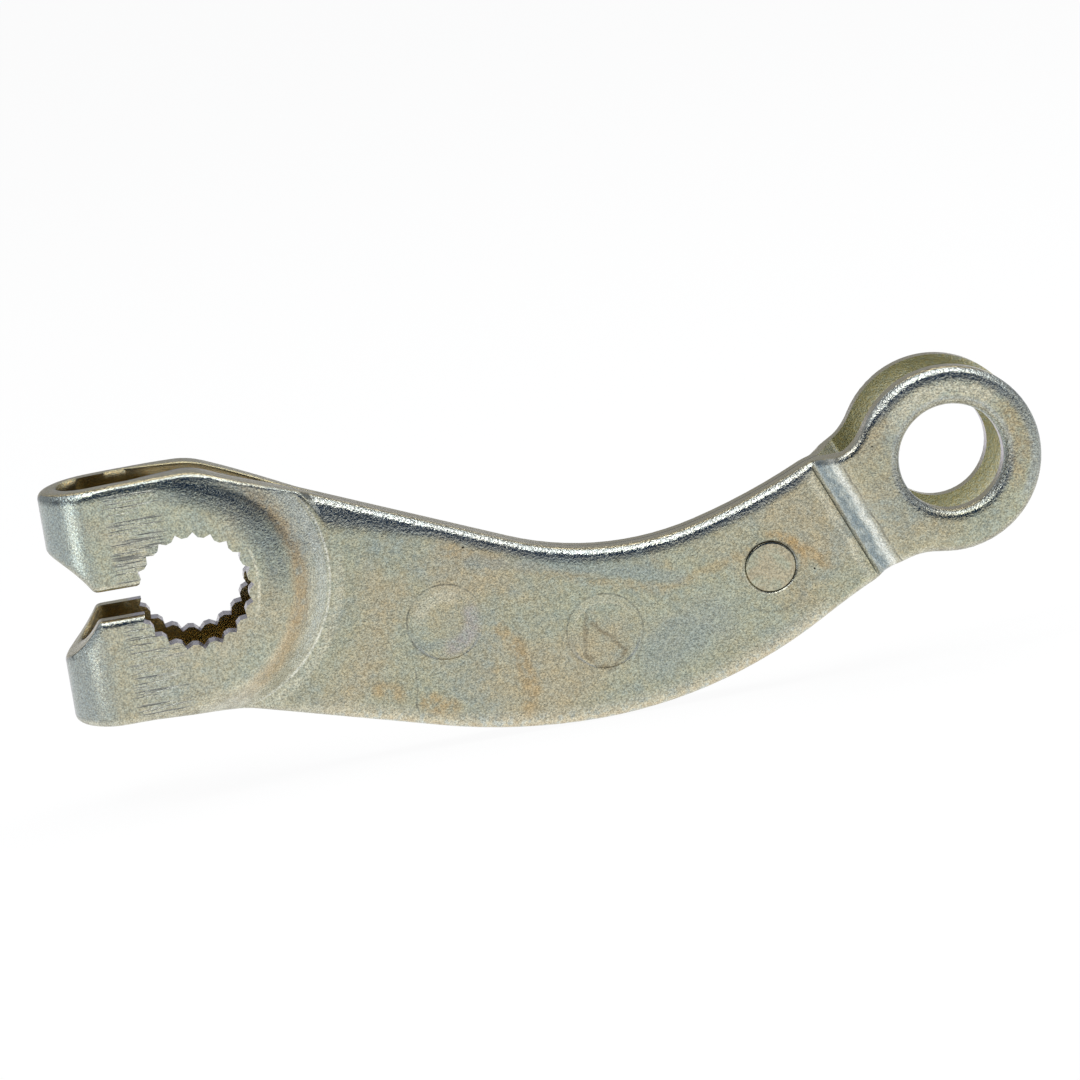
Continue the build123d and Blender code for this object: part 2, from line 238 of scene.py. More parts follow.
# film colour: soft patches, orange stains, and flecks
cloud_size, patch_size, stain_size, fleck_size = 24, 9, 12, 1.3
cloud = add_node(tree, "ShaderNodeTexNoise",
                 {"Vector": mm, "Scale": 1 / cloud_size, "Detail": 3.0, "Roughness": 0.55,
                  "Distortion": 0.6})
tan_share = add_node(tree, "ShaderNodeMapRange", {"Value": cloud, "From Min": 0.42, "From Max": 0.66},
                     interpolation_type="SMOOTHSTEP")
film = add_node(tree, "ShaderNodeMix", {0: tan_share, 6: film_olive, 7: film_tan}, data_type="RGBA")
patch = add_node(tree, "ShaderNodeTexNoise",
                 {"Vector": mm, "Scale": 1 / patch_size, "Detail": 4.0, "Roughness": 0.6,
                  "Distortion": 0.8})
blue_share = add_node(tree, "ShaderNodeMapRange",
                      {"Value": patch, "From Min": 0.46, "From Max": 0.72, "To Max": 0.6},
                      interpolation_type="SMOOTHSTEP")
film = add_node(tree, "ShaderNodeMix", {0: blue_share, 6: film.outputs[2], 7: film_blue},
                data_type="RGBA")
stain = add_node(tree, "ShaderNodeTexNoise",
                 {"Vector": mm, "Scale": 1 / stain_size, "Detail": 5.0, "Roughness": 0.6,
                  "Distortion": 1.4})
stain_share = add_node(tree, "ShaderNodeMapRange",
                       {"Value": stain, "From Min": 0.60, "From Max": 0.76, "To Max": 0.28},
                       interpolation_type="SMOOTHSTEP")
film = add_node(tree, "ShaderNodeMix", {0: stain_share, 6: film.outputs[2], 7: stain_orange},
                data_type="RGBA")
fleck = add_node(tree, "ShaderNodeTexNoise",
                 {"Vector": mm, "Scale": 1 / fleck_size, "Detail": 3.0, "Roughness": 0.6})
fleck_warmth = add_node(tree, "ShaderNodeMapRange",
                        {"Value": fleck, "From Min": 0.36, "From Max": 0.64})
fleck_hue = add_node(tree, "ShaderNodeMix", {0: fleck_warmth, 6: speck_cool, 7: speck_warm},
                     data_type="RGBA")
film = add_node(tree, "ShaderNodeMix", {0: 0.24, 6: film.outputs[2], 7: fleck_hue.outputs[2]},
                data_type="RGBA", blend_type="OVERLAY")

# the hub carries a bluer film than the arm, and so do the drawn and bent parts, most of all the folds,
# where it is a painted bluish shade that darkens them. The upper rolled edges get a painted bluish
# reflection tone.
on_hub = add_node(tree, "ShaderNodeMapRange",
                  {"Value": at.outputs["X"], "From Min": hub_end, "From Max": 2.0, "To Max": 0.20},
                  interpolation_type="SMOOTHSTEP")
film = add_node(tree, "ShaderNodeMix",
                {0: on_hub, 6: film.outputs[2], 7: film_blue}, data_type="RGBA")
tilt = add_node(tree, "ShaderNodeMath", {0: normal.outputs["Y"]}, operation="ABSOLUTE")
bent = add_node(tree, "ShaderNodeMapRange",
                {"Value": tilt, "From Min": 0.97, "From Max": 0.75, "To Max": 0.55},
                interpolation_type="SMOOTHSTEP")
film = add_node(tree, "ShaderNodeMix",
                {0: bent, 6: film.outputs[2], 7: roll_blue_and_reflection}, data_type="RGBA")
# painted shade: the folds darken toward their outer bend
fold_shade = add_node(tree, "ShaderNodeMapRange",
                  {"Value": at.outputs["X"], "From Min": -11.0, "From Max": -13.5, "To Max": 0.45},
                  interpolation_type="SMOOTHSTEP")
film = add_node(tree, "ShaderNodeMix", {0: fold_shade, 6: film.outputs[2], 7: slope_shadow},
                data_type="RGBA")
# painted reflection: the bands of the rolled edges get a bluish tone, on the upper edges only, beside
# their highlights
roll_reflection_tint = add_node(tree, "ShaderNodeMath", {0: swell, 1: from_hole}, operation="MAXIMUM")
roll_reflection_tint = add_node(tree, "ShaderNodeMapRange", {"Value": roll_reflection_tint, "From Min": 0.12, "From Max": 0.45,
                                              "To Max": 0.65}, interpolation_type="SMOOTHSTEP")
on_top = add_node(tree, "ShaderNodeMapRange", {"Value": at.outputs["Z"], "From Min": -8.0,
                                               "From Max": -5.0})
roll_reflection_tint = add_node(tree, "ShaderNodeMath", {0: roll_reflection_tint, 1: on_top}, operation="MULTIPLY")
film = add_node(tree, "ShaderNodeMix",
                {0: roll_reflection_tint, 6: film.outputs[2], 7: roll_blue_and_reflection}, data_type="RGBA")

# the crest of each edge is tinted tan where it faces up
crest = add_node(tree, "ShaderNodeMapRange", {"Value": normal.outputs["Z"], "From Min": 0.74,
                                              "From Max": 0.90, "To Max": 0.75},
                 interpolation_type="SMOOTHSTEP")
film = add_node(tree, "ShaderNodeMix",
                {0: crest, 6: film.outputs[2], 7: crest_tan}, data_type="RGBA")

# the joggle's slope is painted pale blue, a painted sheen that stands in for its brighter reflection
slope = add_node(tree, "ShaderNodeVectorMath", {0: facing.outputs["Normal"], 1: (-0.92, 0.0, -0.40)},
                 operation="DOT_PRODUCT")
slope = add_node(tree, "ShaderNodeMapRange", {"Value": slope.outputs["Value"], "From Min": 0.45,
                                              "From Max": 0.80, "To Max": 0.85},
                 interpolation_type="SMOOTHSTEP")
past_arm = add_node(tree, "ShaderNodeMath", {0: at.outputs["X"], 1: 70.0}, operation="GREATER_THAN")
slope = add_node(tree, "ShaderNodeMath", {0: slope, 1: past_arm}, operation="MULTIPLY")
film = add_node(tree, "ShaderNodeMix", {0: slope, 6: film.outputs[2], 7: pale_blue_and_sheen},
                data_type="RGBA")

# the downward-facing edges and the lower shoulder are painted a paler cream with tan flecks, a painted
# reflection of the white floor; a band along the arm's lower edge gets cream, tan and blue flecks,
# partly film and partly painted light
# painted reflection: faces turned down get the paler cream
painted_floor_sheen = add_node(tree, "ShaderNodeMapRange",
                {"Value": roll.outputs["Z"], "From Min": -0.06, "From Max": -0.40, "To Max": 0.75},
                interpolation_type="SMOOTHSTEP")
off_slope = add_node(tree, "ShaderNodeMath", {0: 0.85, 1: slope}, operation="SUBTRACT",
                       use_clamp=True)
painted_floor_sheen = add_node(tree, "ShaderNodeMath", {0: painted_floor_sheen, 1: off_slope}, operation="MULTIPLY")
# the band along the arm's lower edge, partly film flecks and partly painted light
low_band = add_node(tree, "ShaderNodeMath", {0: shift, 1: 4.0, 2: above}, operation="MULTIPLY_ADD")
low_band = add_node(tree, "ShaderNodeMapRange", {"Value": low_band, "From Min": 2.9, "From Max": 0.7,
                                                 "To Max": 0.62}, interpolation_type="SMOOTHSTEP")
right_of_hub = add_node(tree, "ShaderNodeMapRange", {"Value": at.outputs["X"], "From Min": 10.0,
                                                     "From Max": 20.0})
for mask in (past_hub, right_of_hub, on_arm):
    low_band = add_node(tree, "ShaderNodeMath", {0: low_band, 1: mask}, operation="MULTIPLY")
floor_sheen_hue = add_node(tree, "ShaderNodeMix", {0: fleck_warmth, 6: film_tan, 7: cream_and_painted_highlight},
                    data_type="RGBA")
film = add_node(tree, "ShaderNodeMix", {0: painted_floor_sheen, 6: film.outputs[2], 7: floor_sheen_hue.outputs[2]},
                data_type="RGBA")
fleck_cool = add_node(tree, "ShaderNodeMapRange",
                      {"Value": fleck, "From Min": 0.50, "From Max": 0.62})
low_hue = add_node(tree, "ShaderNodeMix", {0: fleck_warmth, 6: speck_warm, 7: cream_and_painted_highlight},
                   data_type="RGBA")
low_hue = add_node(tree, "ShaderNodeMix", {0: fleck_cool, 6: low_hue.outputs[2], 7: pale_blue_and_sheen},
                   data_type="RGBA")
film = add_node(tree, "ShaderNodeMix", {0: low_band, 6: film.outputs[2], 7: low_hue.outputs[2]},
                data_type="RGBA")

# stains and marks of the front leaf, each along its own line: colour, half width, strength and
# the line's points. Flecks break them up and a slow wobble keeps them from being straight. The lines
# across the joggle's crease and slope are painted light: painted highlights and painted shade.
hub_weld, fork_weld, weld_radius = (31.5, -10.8), (52.0, -15.7), 5.05
hub_slug, fork_slug = (31.5, -11.35), (52.0, -16.25)
rivet_place = (74.9, -11.1)
wobble_size, wobble_reach = 2.2, 1.3
wobble = add_node(tree, "ShaderNodeTexNoise",
                  {"Vector": mm, "Scale": 1 / wobble_size, "Detail": 2.0})
wobble = add_node(tree, "ShaderNodeVectorMath", {0: wobble.outputs["Color"], 1: (0.5, 0.5, 0.5)},
                  operation="SUBTRACT")
wobbled = add_node(tree, "ShaderNodeVectorMath",
                   {0: wobble, 1: (wobble_reach, 0.0, wobble_reach), 2: flat},
                   operation="MULTIPLY_ADD")
broken = add_node(tree, "ShaderNodeMapRange",
                  {"Value": fleck, "From Min": 0.34, "From Max": 0.56, "To Min": 0.25})
line_marks = (
    (stain_orange, 1.2, 0.28, ((33.5, -1.5), (48.2, -7.6), (60.3, -11.6), (72.0, -8.6))),
    (streak_blue, 1.3, 0.50, ((36.0, -3.4), (47.5, -6.0), (55.2, -8.2), (62.8, -10.3))),
    (streak_blue, 5.0, 0.50, ((59.0, -20.0), (66.0, -16.5))),
    (stain_orange, 1.5, 0.48, ((38.4, -13.0), (40.4, -15.6), (41.4, -21.8), (40.6, -24.6))),
    (stain_orange, 2.0, 0.60, ((27.8, -21.0), (30.4, -22.4))),
    (stain_orange, 1.7, 0.50, ((22.0, -18.2), (23.8, -19.0))),
    (stain_orange, 1.1, 0.50, ((77.4, -7.8), (79.6, -9.4), (82.4, -12.2))),
    (stain_orange, 1.8, 0.38, ((108.0, 5.0), (109.4, 0.4), (108.0, -4.4))),
    # painted light across the joggle: a painted highlight left of the crease, painted shade in the
    # crease and on the slope, a painted highlight stripe and a painted dark line at the slope's top
    (cream_and_painted_highlight, 0.8, 0.50, ((81.0, 1.4), (87.4, -14.2))),
    (scratch_and_shade_dark, 0.22, 0.60, ((82.15, 1.5), (89.1, -14.6))),
    (slope_shadow, 1.0, 0.85, ((83.0, 1.9), (89.9, -14.2))),
    (white_speck_and_highlight, 0.55, 0.60, ((84.1, 2.3), (91.0, -13.8))),
    (scratch_and_shade_dark, 0.20, 0.55, ((84.9, 2.7), (91.85, -13.4))),
    (loop_brown, 0.46, 0.62, ((49.8, -13.7), (54.3, -18.6), (52.4, -20.8), (50.6, -20.4),
                              (49.2, -18.2), (49.8, -13.7))),
    (scratch_and_shade_dark, 0.20, 0.60, ((26.7, -16.4), (26.5, -18.8), (26.2, -21.6))),
    (scratch_and_shade_dark, 0.18, 0.60, ((14.4, -2.0), (13.9, -6.1), (13.1, -6.9), (11.4, -6.0))),
)
for colour, half_width, strength, points in line_marks:
    nearest = None
    for (x_0, z_0), (x_1, z_1) in zip(points, points[1:]):
        run = Vector((x_1 - x_0, 0.0, z_1 - z_0))
        start = add_node(tree, "ShaderNodeVectorMath", {0: wobbled, 1: (x_0, 0.0, z_0)},
                         operation="SUBTRACT")
        along = add_node(tree, "ShaderNodeVectorMath", {0: start, 1: run / run.length_squared},
                         operation="DOT_PRODUCT")
        along = add_node(tree, "ShaderNodeMath", {0: along.outputs["Value"], 1: 1.0},
                         operation="MULTIPLY", use_clamp=True)
        foot = add_node(tree, "ShaderNodeVectorMath", {0: run, "Scale": along}, operation="SCALE")
        gap = add_node(tree, "ShaderNodeVectorMath", {0: start, 1: foot}, operation="DISTANCE")
        gap = gap.outputs["Value"]
        if nearest is not None:
            gap = add_node(tree, "ShaderNodeMath", {0: nearest, 1: gap}, operation="MINIMUM")
        nearest = gap
    share = add_node(tree, "ShaderNodeMapRange",
                     {"Value": nearest, "From Min": half_width, "From Max": 0.25 * half_width,
                      "To Max": strength}, interpolation_type="SMOOTHSTEP")
    for mask in (broken, front):
        share = add_node(tree, "ShaderNodeMath", {0: share, 1: mask}, operation="MULTIPLY")
    film = add_node(tree, "ShaderNodeMix",
                    {0: share, 6: film.outputs[2], 7: colour}, data_type="RGBA")

# round marks: colour, half width, strength, centre, radius, and the part of the turn that they keep,
# as its middle and its spread in degrees. They are the hub's blue cone, drawn paler there as painted
# light; its tan shoulder; its dark shoulder, which is painted shade; its bright foot, a painted
# highlight line with a painted highlight beside it; the burr that a die left right of the serration,
# drawn as a painted highlight line; the ear's cream crown; the rims and the tints of the two welding
# dimples, which are painted shade on the rims, painted highlight lines and a painted lilac shade at the
# lower right;
# and the rings round the rivet, with its dark joint darkest above as painted shade and a painted
# highlight crescent inside it.
round_marks = (
    # painted light: the cone drawn paler
    (cream_and_painted_highlight, 2.6, 0.45, (0.0, 0.0), 16.0, 12, 62),
    (pale_blue_and_sheen, 1.1, 0.60, (0.0, 0.0), 16.6, 5, 62),
    (stain_orange, 1.7, 0.55, (-2.5, 0.0), 16.2, -10, 65),
    # painted shade on the dark shoulder
    (slope_shadow, 2.4, 0.55, (-2.5, 0.0), 13.5, 42, 58),
    # painted highlights along the foot, beside it, and on the burr
    (white_speck_and_highlight, 0.24, 0.55, (0.0, 0.0), 17.75, -18, 62),
    (cream_and_painted_highlight, 1.1, 0.45, (0.0, 0.0), 18.9, -38, 50),
    (cream_and_painted_highlight, 0.30, 0.70, (-5.7, 0.45), 14.0, -4, 24),
    (cream_and_painted_highlight, 1.5, 0.62, (100.0, 0.0), 9.3, 95, 60),
    # the dimples: painted shade on their rims, painted highlight lines and a painted lilac shade
    (scratch_and_shade_dark, 0.18, 0.62, hub_weld, weld_radius, 135, 130),
    (cream_and_painted_highlight, 0.16, 0.45, hub_slug, 4.35, 95, 75),
    (cut_edge_and_shade_lilac, 1.5, 0.45, hub_weld, 3.5, -35, 75),
    (cream_and_painted_highlight, 1.2, 0.40, hub_weld, 3.3, 120, 75),
    (scratch_and_shade_dark, 0.18, 0.50, fork_weld, weld_radius, 100, 150),
    (cream_and_painted_highlight, 0.16, 0.45, fork_slug, 4.35, 95, 75),
    (stain_orange, 0.8, 0.60, rivet_place, 4.4, 40, 60),
    # the rivet's dark joint, darkest above as painted shade, and a painted highlight crescent inside it
    (scratch_and_shade_dark, 0.26, 0.75, rivet_place, 3.5, 60, 115),
    (cream_and_painted_highlight, 0.24, 0.80, rivet_place, 3.5, 235, 75),
    (scratch_and_shade_dark, 0.28, 0.35, (74.9, -11.9), 5.2, 270, 60),
)
for colour, half_width, strength, (x_0, z_0), radius, middle, spread in round_marks:
    start = add_node(tree, "ShaderNodeVectorMath",
                     {0: flat, 1: (x_0, 0.0, z_0)}, operation="SUBTRACT")
    away = add_node(tree, "ShaderNodeVectorMath", {0: start}, operation="LENGTH")
    gap = add_node(tree, "ShaderNodeMath",
                   {0: away.outputs["Value"], 1: radius}, operation="SUBTRACT")
    gap = add_node(tree, "ShaderNodeMath", {0: gap}, operation="ABSOLUTE")
    share = add_node(tree, "ShaderNodeMapRange",
                     {"Value": gap, "From Min": half_width, "From Max": 0.2 * half_width,
                      "To Max": strength}, interpolation_type="SMOOTHSTEP")
    middle, spread = math.radians(middle), math.radians(spread)
    turned = add_node(tree, "ShaderNodeVectorMath", {0: start}, operation="NORMALIZE")
    turned = add_node(tree, "ShaderNodeVectorMath",
                      {0: turned, 1: (math.cos(middle), 0.0, math.sin(middle))},
                      operation="DOT_PRODUCT")
    kept = add_node(tree, "ShaderNodeMapRange",
                    {"Value": turned.outputs["Value"], "From Min": math.cos(spread),
                     "From Max": math.cos(0.6 * spread)}, interpolation_type="SMOOTHSTEP")
    for mask in (kept, broken, front):
        share = add_node(tree, "ShaderNodeMath", {0: share, 1: mask}, operation="MULTIPLY")
    film = add_node(tree, "ShaderNodeMix",
                    {0: share, 6: film.outputs[2], 7: colour}, data_type="RGBA")

# grain of the plating, pebbles and a finer grit. The real grain is too fine to show here, so both
# are drawn coarser.
grain_size, grit_size = 0.28, 0.20


def plating_grain(tree, mm, film, brightest):
    """Adds the grain to a film and returns it, with the pebbles' height and their tan or blue."""
    height = add_node(tree, "ShaderNodeTexNoise",
                      {"Vector": mm, "Scale": 1 / grain_size, "Detail": 3.0, "Roughness": 0.7})
    warmth = add_node(tree, "ShaderNodeMapRange",
                      {"Value": height, "From Min": 0.34, "From Max": 0.66})
    hue = add_node(tree, "ShaderNodeMix",
                   {0: warmth, 6: speck_cool, 7: speck_warm}, data_type="RGBA")
    film = add_node(tree, "ShaderNodeMix", {0: 0.25, 6: film.outputs[2], 7: hue.outputs[2]},
                    data_type="RGBA", blend_type="OVERLAY")
    grit = add_node(tree, "ShaderNodeTexNoise",
                    {"Vector": mm, "Scale": 1 / grit_size, "Detail": 1.0})
    grit = add_node(tree, "ShaderNodeMapRange", {"Value": grit, "From Min": 0.3, "From Max": 0.7,
                                                 "To Min": 0.72, "To Max": brightest})
    film = add_node(tree, "ShaderNodeMix", {0: 1.0, 6: film.outputs[2], 7: grit},
                    data_type="RGBA", blend_type="MULTIPLY")
    return film, height, hue


film, grain, grain_hue = plating_grain(tree, mm, film, 1.54)

# grinding scratches along the jaws, with burnished edges
scratch_length, scratch_width = 7, 0.2
stretched = add_node(tree, "ShaderNodeVectorMath",
                     {0: mm, 1: (1 / scratch_length, 0.2, 1 / scratch_width)}, operation="MULTIPLY")
scratch = add_node(tree, "ShaderNodeTexNoise", {"Vector": stretched, "Scale": 1.0, "Detail": 2.0})
burnished = add_node(tree, "ShaderNodeMapRange",
                     {"Value": scratch, "From Min": 0.50, "From Max": 0.56, "To Max": 0.38})
scratch = add_node(tree, "ShaderNodeMapRange",
                   {"Value": scratch, "From Min": 0.56, "From Max": 0.64})
jaws = add_node(tree, "ShaderNodeMapRange", {"Value": at.outputs["X"], "From Min": bend_line + 0.4,
                                             "From Max": -8.6}, interpolation_type="SMOOTHSTEP")
jaws_end = add_node(tree, "ShaderNodeMapRange", {"Value": at.outputs["X"], "From Min": -1.5,
                                                 "From Max": -4.0}, interpolation_type="SMOOTHSTEP")
flat_face = add_node(tree, "ShaderNodeMapRange", {"Value": tilt, "From Min": 0.9, "From Max": 0.98})
for mask in (jaws_end, front, flat_face):
    jaws = add_node(tree, "ShaderNodeMath", {0: jaws, 1: mask}, operation="MULTIPLY")
burnished = add_node(tree, "ShaderNodeMath", {0: burnished, 1: jaws}, operation="MULTIPLY")
film = add_node(tree, "ShaderNodeMix", {0: burnished, 6: film.outputs[2], 7: white_speck_and_highlight},
                data_type="RGBA")
scratched = add_node(tree, "ShaderNodeMath", {0: scratch, 1: jaws}, operation="MULTIPLY")
scratched_share = add_node(tree, "ShaderNodeMath", {0: scratched, 1: 0.70}, operation="MULTIPLY")
film = add_node(tree, "ShaderNodeMix", {0: scratched_share, 6: film.outputs[2], 7: scratch_and_shade_dark},
                data_type="RGBA")

# a few black pits, up to 0.5 mm across, each inside a cell of its own
pit_cell, pit_radius = 4.5, 0.2475
pit = add_node(tree, "ShaderNodeTexVoronoi", {"Vector": mm, "Scale": 1 / pit_cell,
                                              "Randomness": 1.0})
pit_rate = add_node(tree, "ShaderNodeSeparateColor", {"Color": pit.outputs["Color"]})
pit_size = add_node(tree, "ShaderNodeMapRange",
                    {"Value": pit_rate.outputs["Red"], "From Min": 0.55, "From Max": 1.0,
                     "To Min": 0.0, "To Max": pit_radius / pit_cell})
pit_share = add_node(tree, "ShaderNodeMath", {0: pit.outputs["Distance"], 1: pit_size},
                     operation="LESS_THAN")
film = add_node(tree, "ShaderNodeMix", {0: pit_share, 6: film.outputs[2], 7: pit_black},
                data_type="RGBA")

# sheared walls have no Y in their normal: they are lilac, and olive where they look up.
# The inside of the fold looks to the middle plane, and it is darker toward the hub, partly painted
# shade in the recess.
inside = add_node(tree, "ShaderNodeMapRange", {"Value": outward, "From Min": -0.05, "From Max": -0.25},
                  interpolation_type="SMOOTHSTEP")
sheared = add_node(tree, "ShaderNodeMapRange", {"Value": tilt, "From Min": 0.25, "From Max": 0.02},
                   interpolation_type="SMOOTHSTEP")
toward_fork = add_node(tree, "ShaderNodeMapRange",
                       {"Value": at.outputs["X"], "From Min": 30.0, "From Max": 80.0},
                       interpolation_type="SMOOTHSTEP")
# partly painted shade: the inside is darker toward the hub
inside_film = add_node(tree, "ShaderNodeMix", {0: toward_fork, 6: inside_olive, 7: throat_olive},
                       data_type="RGBA")
inside_film = add_node(tree, "ShaderNodeMix",
                       {0: 0.8, 6: inside_film.outputs[2], 7: grain_hue.outputs[2]},
                       data_type="RGBA", blend_type="OVERLAY")
away_from_bore = add_node(tree, "ShaderNodeMapRange", {"Value": from_shaft.outputs["Value"],
                                                       "From Min": teeth_end - 0.4,
                                                       "From Max": teeth_end + 0.4})
looking_up = add_node(tree, "ShaderNodeMapRange", {"Value": normal.outputs["Z"], "From Min": 0.2,
                                                   "From Max": 0.7})
looking_up = add_node(tree, "ShaderNodeMath",
                      {0: looking_up, 1: away_from_bore}, operation="MULTIPLY")
cut_hue = add_node(tree, "ShaderNodeMix", {0: looking_up, 6: cut_edge_and_shade_lilac, 7: wall_olive},
                   data_type="RGBA")
cut_hue = add_node(tree, "ShaderNodeMix", {0: 0.6, 6: cut_hue.outputs[2], 7: grain_hue.outputs[2]},
                   data_type="RGBA", blend_type="OVERLAY")
# a fine dark seam parts the two leaves where they lie on each other
seam = add_node(tree, "ShaderNodeMath", {0: at.outputs["Y"]}, operation="ABSOLUTE")
seam = add_node(tree, "ShaderNodeMapRange", {"Value": seam, "From Min": 0.24, "From Max": 0.08,
                                             "To Max": 0.8}, interpolation_type="SMOOTHSTEP")
seam_end = add_node(tree, "ShaderNodeMapRange", {"Value": at.outputs["X"], "From Min": 14.0,
                                                 "From Max": 16.0})
seam = add_node(tree, "ShaderNodeMath", {0: seam, 1: seam_end}, operation="MULTIPLY")
cut_hue = add_node(tree, "ShaderNodeMix", {0: seam, 6: cut_hue.outputs[2], 7: pit_black},
                   data_type="RGBA")
film = add_node(tree, "ShaderNodeMix", {0: sheared, 6: film.outputs[2], 7: cut_hue.outputs[2]},
                data_type="RGBA")
film = add_node(tree, "ShaderNodeMix", {0: inside, 6: film.outputs[2], 7: inside_film.outputs[2]},
                data_type="RGBA")

# relief: the grain, deeper where the sheet was drawn over, slower pebbles, the scratches, the pits
# and the drawn swells. The swell along the arm and the ear is deeper where it is wider.
pebble_size = 0.9
pebble = add_node(tree, "ShaderNodeTexNoise",
                  {"Vector": mm, "Scale": 1 / pebble_size, "Detail": 2.0, "Roughness": 0.5})
turned_up = roll.outputs["Z"]
for amount in (swell, from_hole, shoulder):
    turned_up = add_node(tree, "ShaderNodeMath", {0: turned_up, 1: amount}, operation="MAXIMUM")
turned_up = add_node(tree, "ShaderNodeMapRange", {"Value": turned_up, "From Min": 0.04,
                                                  "From Max": 0.30, "To Min": 0.034, "To Max": 0.072})
relief = add_node(tree, "ShaderNodeMath", {0: grain, 1: turned_up}, operation="MULTIPLY")
squares = [add_node(tree, "ShaderNodeMath", {0: amount, 1: 2.0}, operation="POWER")
           for amount in (swell, crown, from_hole, shoulder)]
squares[0] = add_node(tree, "ShaderNodeMath", {0: squares[0], 1: swell_width}, operation="MULTIPLY")
for amount, height in zip((pebble, scratched, pit_share, *squares),
                          (0.030, -0.030, -0.05, -0.265, -0.34, -0.52, -0.52)):
    relief = add_node(tree, "ShaderNodeMath", {0: amount, 1: height, 2: relief},
                      operation="MULTIPLY_ADD")

# the planished dimples, the hub's cone and the stretched slope catch the light almost as the
# flat does: their steps are eased
cone = add_node(tree, "ShaderNodeMapRange", {"Value": from_shaft.outputs["Value"], "From Min": 13.2,
                                             "From Max": 14.2}, interpolation_type="SMOOTHSTEP")
cone_foot = add_node(tree, "ShaderNodeMapRange", {"Value": from_shaft.outputs["Value"],
                                                  "From Min": 18.4, "From Max": 17.4},
                     interpolation_type="SMOOTHSTEP")
cone_up = add_node(tree, "ShaderNodeMapRange", {"Value": normal.outputs["Z"], "From Min": 0.05,
                                                "From Max": 0.20, "To Max": 0.82})
cone_end = add_node(tree, "ShaderNodeMapRange", {"Value": normal.outputs["Z"], "From Min": 0.75,
                                                 "From Max": 0.55})
calm = cone
for mask in (cone_foot, cone_up, cone_end):
    calm = add_node(tree, "ShaderNodeMath", {0: calm, 1: mask}, operation="MULTIPLY")
for x_0, z_0 in (hub_weld, fork_weld):
    away = add_node(tree, "ShaderNodeVectorMath",
                    {0: flat, 1: (x_0, 0.0, z_0)}, operation="DISTANCE")
    calm = add_node(tree, "ShaderNodeMapRange", {"Value": away.outputs["Value"], "From Min": 6.0,
                                                 "From Max": 5.4, "To Min": calm, "To Max": 0.90})
calm = add_node(tree, "ShaderNodeMath", {0: slope, 1: 0.36, 2: calm}, operation="MULTIPLY_ADD",
                use_clamp=True)
calm = add_node(tree, "ShaderNodeMath", {0: calm, 1: outer}, operation="MULTIPLY")
plain = add_node(tree, "ShaderNodeCombineXYZ", {"Y": side})
eased = add_node(tree, "ShaderNodeMix", {0: calm, 4: rolled, 5: plain}, data_type="VECTOR")
eased = add_node(tree, "ShaderNodeVectorMath", {0: eased.outputs[1]}, operation="NORMALIZE")
bump = add_node(tree, "ShaderNodeBump", {"Strength": 1.0, "Distance": 1 / mm_per_metre,
                                         "Height": relief, "Normal": eased})
rough = add_node(tree, "ShaderNodeMapRange",
                 {"Value": patch, "From Min": 0.3, "From Max": 0.7, "To Min": 0.14, "To Max": 0.20})
shader = add_node(tree, "ShaderNodeBsdfPrincipled",
                  {"Base Color": film.outputs[2], "Metallic": 1.0, "Roughness": rough, "Normal": bump})
add_node(tree, "ShaderNodeOutputMaterial", {"Surface": shader})
for name in ("front_leaf", "back_leaf", "upper_jaw_fold", "lower_jaw_fold"):
    nodes[name].data.materials[0] = zinc_sheet


# Spot welds: the two fused slugs between the dimple floors, of the sheet's own steel. They were
# plated with the lever, so the eye sees the same film and grain on them.
for name in ("spot_weld_hub_end", "spot_weld_fork_end"):
    nodes[name].data.materials[0] = zinc_sheet


# Locating rivet: a plain pin of low-carbon steel, 6.8 mm across, pressed through both leaves,
# headed flush and plated with them, so it carries the same olive film and grain. Its rims are
# rounded, and an inset keeps their smooth shading off the middle of each face.
rivet_radius, rivet_half, rivet_rim, rim_shading = 0.00338, 0.0025, 0.00032, 0.0016
bpy.ops.object.select_all(action="DESELECT")
bpy.ops.mesh.primitive_cylinder_add(vertices=96, radius=rivet_radius, depth=2 * rivet_half,
                                    location=(rivet_place[0] / mm_per_metre, 0.0,
                                              rivet_place[1] / mm_per_metre),
                                    rotation=(math.radians(90), 0, 0))
rivet = bpy.context.object
rivet.name = "flush_rivet"
bpy.ops.object.transform_apply(location=True, rotation=True, scale=True)
bpy.ops.object.mode_set(mode="EDIT")
bpy.ops.mesh.select_mode(type="EDGE")
bpy.ops.mesh.select_all(action="DESELECT")
bpy.ops.object.mode_set(mode="OBJECT")
for edge in rivet.data.edges:
    ends = [rivet.data.vertices[i].co for i in edge.vertices]
    edge.select = abs(ends[0].y - ends[1].y) < 1e-6
bpy.ops.object.mode_set(mode="EDIT")
bpy.ops.mesh.bevel(offset=rivet_rim, segments=5, profile=0.5, affect="EDGES")
bpy.ops.mesh.select_mode(type="FACE")
bpy.ops.mesh.select_all(action="DESELECT")
bpy.ops.object.mode_set(mode="OBJECT")
for face in rivet.data.polygons:
    face.select = abs(face.normal.y) > 0.99
bpy.ops.object.mode_set(mode="EDIT")
bpy.ops.mesh.inset(thickness=rim_shading, depth=0.0, use_individual=True)
bpy.ops.mesh.select_all(action="SELECT")
bpy.ops.mesh.normals_make_consistent(inside=False)
bpy.ops.object.mode_set(mode="OBJECT")
bpy.ops.object.shade_smooth_by_angle(angle=math.radians(40))

